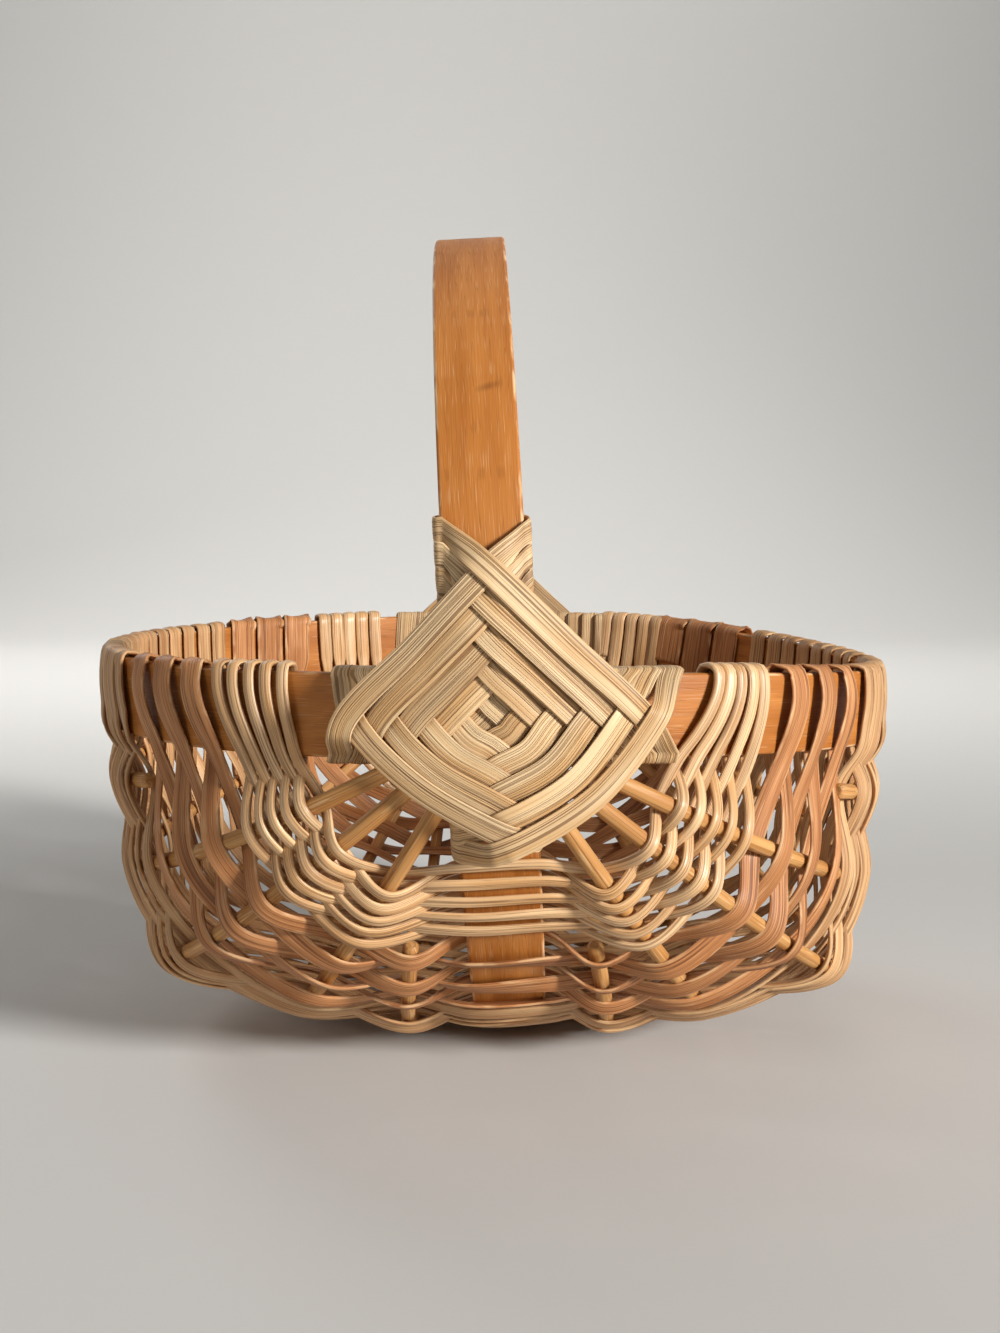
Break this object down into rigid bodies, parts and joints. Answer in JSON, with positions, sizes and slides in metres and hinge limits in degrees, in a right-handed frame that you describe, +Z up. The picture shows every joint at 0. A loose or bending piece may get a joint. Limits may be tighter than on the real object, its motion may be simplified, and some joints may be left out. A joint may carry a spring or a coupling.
{
  "type": "rib basket with hoop handle",
  "caption": "Round-bottomed rib basket of woven reed on two crossed bent-wood hoops, with woven diamond lashings where the hoops cross; the upright hoop is the carrying handle.",
  "frame": {"origin": "on the surface that the basket stands on, under the middle of its outline", "axes": "+Z up, +Y from the front lashing to the back one, +X to the right of the front"},
  "size_m": [0.249, 0.2622, 0.2517],
  "materials": {
    "bent_wood": "worn satin varnish over straight-grained bent wood",
    "rib_reed": "bare round reed",
    "lashing_reed": "bare flat-oval reed with fine lengthwise grain",
    "light_reed": "smooth pale round reed",
    "red_reed": "flat-oval reed stained red brown",
    "tan_reed": "flat-oval reed stained light brown"
  },
  "bodies": {
    "root": {"handle_hoop": "bent_wood", "rim_hoop": "bent_wood", "right_upper_filler_rib": "rib_reed", "right_upper_rib": "rib_reed", "right_middle_rib": "rib_reed", "right_lower_rib": "rib_reed", "right_lower_filler_rib": "rib_reed", "left_upper_filler_rib": "rib_reed", "left_upper_rib": "rib_reed", "left_middle_rib": "rib_reed", "left_lower_rib": "rib_reed", "left_lower_filler_rib": "rib_reed", "front_eye_lashing": "lashing_reed", "back_eye_lashing": "lashing_reed", "front_light_weaver_1": "light_reed", "back_light_weaver_1": "light_reed", "front_light_weaver_2": "light_reed", "back_light_weaver_2": "light_reed", "front_light_weaver_3": "light_reed", "back_light_weaver_3": "light_reed", "front_red_weaver_1": "red_reed", "back_red_weaver_1": "red_reed", "front_red_weaver_2": "red_reed", "back_red_weaver_2": "red_reed", "front_tan_weaver_1": "tan_reed", "back_tan_weaver_1": "tan_reed", "front_tan_weaver_2": "tan_reed", "back_tan_weaver_2": "tan_reed", "front_tan_weaver_3": "tan_reed", "back_tan_weaver_3": "tan_reed", "front_tan_weaver_4": "tan_reed", "back_tan_weaver_4": "tan_reed"}
  },
  "joints": []
}
